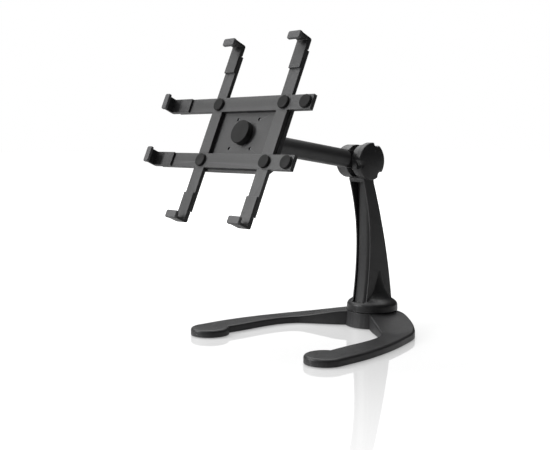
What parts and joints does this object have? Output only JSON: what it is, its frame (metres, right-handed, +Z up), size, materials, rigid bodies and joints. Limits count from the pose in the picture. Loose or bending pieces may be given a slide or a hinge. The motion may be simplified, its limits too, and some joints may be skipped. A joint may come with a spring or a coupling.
{
  "type": "tablet stand",
  "caption": "Desk stand for a tablet: U-shaped base, curved column with a clamp knob, tilting tube arm, ball joint and an open holder of rails with hook clips on three sides.",
  "frame": {"origin": "on the table, on the axis of the hub and column", "axes": "+Z up, the tablet faces -Y, the clamp knob is on +X"},
  "size_m": [0.2325, 0.2816, 0.3128],
  "materials": {
    "abs_black": "fine moulded texture",
    "cap_grey": "satin",
    "rubber": "matte",
    "steel": "zinc plated",
    "nylon": "natural nylon",
    "brass": "turned"
  },
  "bodies": {
    "base": {"base_shell": "abs_black", "arm_cover_left": "abs_black", "arm_cover_right": "abs_black", "hub_cover": "abs_black", "arm_cover_screws": "steel", "hub_cover_screws": "steel", "ballast_left": "steel", "ballast_right": "steel", "arm_feet": "rubber", "hub_foot": "rubber", "thrust_ring": "nylon"},
    "column": {"column": "abs_black", "column_front": "abs_black", "retaining_plate": "steel", "retaining_screws": "steel", "swivel_friction_ring": "nylon", "pivot_bolt": "steel", "bolt_cap": "abs_black", "friction_discs": "nylon"},
    "knob": {"knob": "abs_black", "knob_insert": "brass", "knob_washer": "steel"},
    "arm": {"arm": "abs_black", "arm_end_plug": "abs_black", "ball_stud": "steel"},
    "inner_cup": {"friction_cup": "nylon"},
    "outer_cup": {"pressure_cup": "steel"},
    "holder": {"ball_socket": "abs_black", "socket_screws": "steel", "centre_plate": "abs_black", "rail_left": "abs_black", "rail_right": "abs_black", "rail_upper": "abs_black", "rail_lower": "abs_black", "rail_screws": "steel", "rest_pads": "rubber", "centre_pad": "rubber", "clip_screws": "steel", "clip_top_left": "abs_black", "clip_top_right": "abs_black", "clip_bottom_left": "abs_black", "clip_bottom_right": "abs_black", "clip_left_upper": "abs_black", "clip_left_lower": "abs_black", "cap_top_left": "cap_grey", "cap_top_right": "cap_grey", "cap_bottom_left": "cap_grey", "cap_bottom_right": "cap_grey", "cap_left_upper": "cap_grey", "cap_left_lower": "cap_grey"},
    "locking_ring": {"locking_ring": "abs_black"}
  },
  "joints": [
    {"name": "column_swivel", "type": "hinge", "parent": "base", "child": "column", "pos_m": [0, 0, 0.018], "axis": [0, 0, 1], "range_deg": [-45, 45]},
    {"name": "arm_tilt", "type": "hinge", "parent": "column", "child": "arm", "pos_m": [0, -0.025, 0.188], "axis": [-1, 0, 0], "range_deg": [-41, 70]},
    {"name": "knob_turn", "type": "hinge", "parent": "column", "child": "knob", "pos_m": [0.015, -0.025, 0.188], "axis": [1, 0, 0], "range_deg": [0, 360]},
    {"name": "holder_tilt", "type": "hinge", "parent": "arm", "child": "inner_cup", "pos_m": [0, -0.1775, 0.20943], "axis": [-1, 0, 0], "range_deg": [-40, 12]},
    {"name": "holder_pan", "type": "hinge", "parent": "inner_cup", "child": "outer_cup", "pos_m": [0, -0.1775, 0.20943], "axis": [0, 0.4099, 0.9121], "range_deg": [-14, 14]},
    {"name": "holder_turn", "type": "hinge", "parent": "outer_cup", "child": "holder", "pos_m": [0, -0.1775, 0.20943], "axis": [0, -0.9121, 0.4099], "continuous": true},
    {"name": "locking_ring_turn", "type": "hinge", "parent": "holder", "child": "locking_ring", "pos_m": [0, -0.1775, 0.20943], "axis": [0, 0.9121, -0.4099], "range_deg": [0, 60]}
  ]
}
